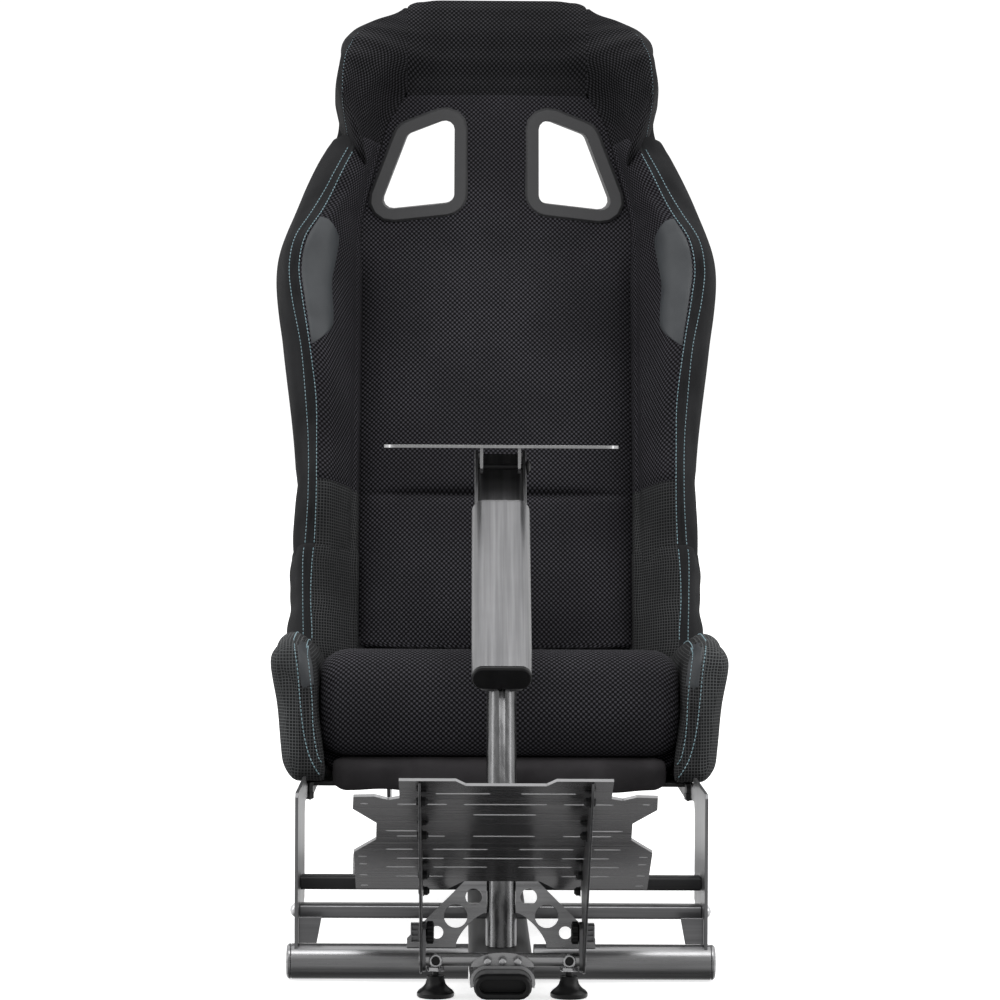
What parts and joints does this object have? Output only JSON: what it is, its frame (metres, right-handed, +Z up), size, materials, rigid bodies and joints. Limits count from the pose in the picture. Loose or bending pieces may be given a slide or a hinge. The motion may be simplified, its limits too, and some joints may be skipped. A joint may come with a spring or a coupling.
{
  "type": "racing seat cockpit",
  "caption": "Racing cockpit: an upholstered bucket seat with a fold-forward back, on a steel floor frame with a tilting wheel plate on a telescopic arm and a sliding, tilting pedal deck.",
  "frame": {"origin": "on the floor, at the middle of the footprint", "axes": "+Z up, the driver faces -Y, +X to the right of someone looking along +Y"},
  "size_m": [0.496, 1.1641, 1.0133],
  "materials": {
    "frame_steel": "satin gunmetal coat",
    "black_coat": "satin black coat",
    "black_plastic": "fine-grained black",
    "mesh_cloth": "black spacer mesh",
    "side_cloth": "black stretch mesh"
  },
  "bodies": {
    "base": {"front_tube_left": "frame_steel", "front_tube_right": "frame_steel", "side_plate_left": "frame_steel", "side_plate_right": "frame_steel", "corner_gusset_left": "frame_steel", "corner_gusset_right": "frame_steel", "column_gusset_left": "frame_steel", "column_gusset_right": "frame_steel", "rear_bracket_left": "frame_steel", "rear_bracket_right": "frame_steel", "front_cap_left": "frame_steel", "front_cap_right": "frame_steel", "rear_cap_left": "frame_steel", "rear_cap_right": "frame_steel", "spine_tube": "frame_steel", "rear_tube": "frame_steel", "lower_cross_bar": "frame_steel", "column_tube": "frame_steel", "arm_saddle": "frame_steel", "wheel_arm": "frame_steel", "hinge_bracket_left": "black_coat", "hinge_bracket_right": "black_coat", "upper_cross_bar": "black_coat", "seat_pan": "black_coat", "arm_end_cap": "black_plastic", "seat_cushion": "mesh_cloth", "seat_skirt": "mesh_cloth", "base_bolster_left": "side_cloth", "base_bolster_right": "side_cloth"},
    "carriage": {"pedal_beam": "frame_steel", "beam_end_cap": "black_plastic", "carriage_clip": "frame_steel", "foot_bar": "frame_steel", "tilt_ear_left": "frame_steel", "tilt_ear_right": "frame_steel", "clamp_block_left": "frame_steel", "clamp_block_right": "frame_steel"},
    "pedal_deck": {"pedal_plate": "frame_steel", "fin_left": "frame_steel", "fin_right": "frame_steel"},
    "knob_left": {"clamp_knob_left": "black_plastic"},
    "knob_right": {"clamp_knob_right": "black_plastic"},
    "foot_left": {"foot_left": "black_plastic"},
    "foot_right": {"foot_right": "black_plastic"},
    "post": {"wheel_post": "frame_steel", "tilt_bolt": "black_coat"},
    "wheel_mount": {"wheel_plate": "frame_steel"},
    "backrest": {"back_shell": "mesh_cloth", "back_frame": "black_coat", "back_pad": "mesh_cloth", "headrest_pad": "mesh_cloth", "back_bolster_left": "side_cloth", "back_bolster_right": "side_cloth", "head_wing_left": "mesh_cloth", "head_wing_right": "mesh_cloth", "harness_ring_left": "black_plastic", "harness_ring_right": "black_plastic", "hinge_ear_left": "black_coat", "hinge_ear_right": "black_coat"}
  },
  "joints": [
    {"name": "pedal_slide", "type": "slide", "parent": "base", "child": "carriage", "axis": [0, -1, 0], "range_m": [0, 0.2]},
    {"name": "pedal_tilt", "type": "hinge", "parent": "carriage", "child": "pedal_deck", "pos_m": [0, -0.39, 0.03375], "axis": [1, 0, 0], "range_deg": [-6, 10]},
    {"name": "knob_turn_left", "type": "hinge", "parent": "carriage", "child": "knob_left", "pos_m": [-0.0735, -0.39, 0.05825], "axis": [1, 0, 0], "continuous": true},
    {"name": "knob_turn_right", "type": "hinge", "parent": "carriage", "child": "knob_right", "pos_m": [0.0735, -0.39, 0.05825], "axis": [1, 0, 0], "continuous": true},
    {"name": "foot_level_left", "type": "slide", "parent": "carriage", "child": "foot_left", "axis": [0, 0, 1], "range_m": [-0.006, 0.004]},
    {"name": "foot_level_right", "type": "slide", "parent": "carriage", "child": "foot_right", "axis": [0, 0, 1], "range_m": [-0.006, 0.004]},
    {"name": "wheel_reach", "type": "slide", "parent": "base", "child": "post", "axis": [0, 0.7071, 0.7071], "range_m": [-0.04, 0.06]},
    {"name": "wheel_tilt", "type": "hinge", "parent": "post", "child": "wheel_mount", "pos_m": [0, -0.05523, 0.47644], "axis": [1, 0, 0], "range_deg": [-12, 12]},
    {"name": "back_fold", "type": "hinge", "parent": "base", "child": "backrest", "pos_m": [0, 0.36512, 0.29216], "axis": [1, 0, 0], "range_deg": [0, 50]}
  ]
}
